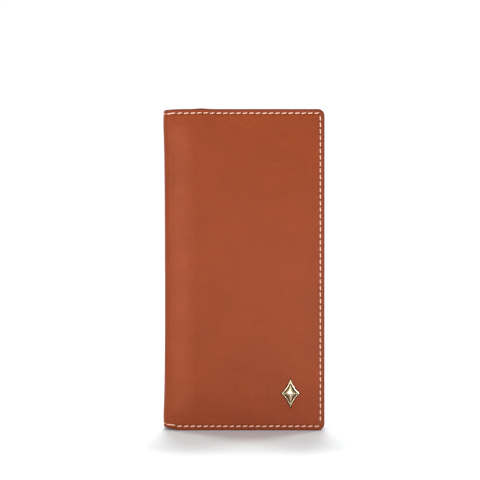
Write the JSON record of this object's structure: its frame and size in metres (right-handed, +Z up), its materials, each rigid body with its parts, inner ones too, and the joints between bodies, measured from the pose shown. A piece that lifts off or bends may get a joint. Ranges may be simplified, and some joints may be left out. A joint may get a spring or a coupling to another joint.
{
  "type": "long bifold wallet",
  "caption": "Long leather bifold wallet standing closed, with a stitched border, a folding spine, a small lozenge badge, card slots, note pockets and a zipped coin pocket.",
  "frame": {"origin": "middle of the closed wallet at the level of its bottom edges", "axes": "+Z up along the spine and the long side, +X from the spine to the free edges, +Y from the front cover to the back cover, so the front cover faces -Y"},
  "size_m": [0.0952, 0.0154, 0.19],
  "materials": {
    "cover_leather": "smooth aniline leather, tan, low sheen with a soft highlight on the folds",
    "inner_leather": "thin smooth leather, tan, matt",
    "lining_leather": "thin lining leather, matt",
    "stiffener_board": "bonded leather board, hidden",
    "thread": "twisted polyester thread, cream",
    "pocket_cloth": "woven twill lining, dark brown",
    "zip_tape": "woven zip tape, brown",
    "zip_metal": "antique brass, satin",
    "badge_metal": "antique brass, polished edges with dark recesses"
  },
  "bodies": {
    "back": {"back_cover": "cover_leather", "back_stiffener": "stiffener_board", "back_lining": "lining_leather", "back_cover_seam": "thread", "coin_bag_rear": "pocket_cloth", "coin_bag_front": "pocket_cloth", "coin_pocket_gusset": "inner_leather", "coin_pocket_panel": "inner_leather", "coin_panel_seam": "thread", "zip_window_seam": "thread", "zip_tape_left": "zip_tape", "zip_tape_right": "zip_tape", "zip_teeth_left": "zip_metal", "zip_teeth_right": "zip_metal", "zip_top_stops": "zip_metal", "zip_bottom_stop": "zip_metal"},
    "spine": {"spine_leather": "cover_leather", "spine_padding": "stiffener_board", "spine_lining": "lining_leather", "spine_seam": "thread"},
    "front": {"front_cover": "cover_leather", "front_stiffener": "stiffener_board", "front_lining": "lining_leather", "front_cover_seam": "thread", "card_backing": "inner_leather", "card_slot_1": "inner_leather", "card_slot_2": "inner_leather", "card_slot_3": "inner_leather", "card_slot_4": "inner_leather", "card_slot_5": "inner_leather", "card_slot_6": "inner_leather", "card_slot_7": "inner_leather", "card_slot_8": "inner_leather", "card_panel_seam": "thread", "front_inner_seam": "thread", "badge": "badge_metal", "badge_prongs": "badge_metal"},
    "zip_slider": {"zip_slider": "zip_metal"},
    "zip_pull": {"zip_pull": "zip_metal"}
  },
  "joints": [
    {"name": "spine_fold", "type": "hinge", "parent": "back", "child": "spine", "pos_m": [-0.04604, 0.00554, 0], "axis": [0, 0, -1], "range_deg": [0, 90]},
    {"name": "cover_fold", "type": "hinge", "parent": "spine", "child": "front", "pos_m": [-0.04604, -0.00554, 0], "axis": [0, 0, -1], "range_deg": [0, 90]},
    {"name": "zip_slide", "type": "slide", "parent": "back", "child": "zip_slider", "axis": [0, 0, -1], "range_m": [0, 0.15], "deforming": ["zip_teeth_left", "zip_teeth_right"]},
    {"name": "zip_pull_swing", "type": "hinge", "parent": "zip_slider", "child": "zip_pull", "pos_m": [-0.024, 0.0002, 0.1707], "axis": [0, 1, 0], "range_deg": [-60, 60]}
  ],
  "couplings": [
    {"joint": "cover_fold", "follows": "spine_fold", "ratio": 1}
  ]
}
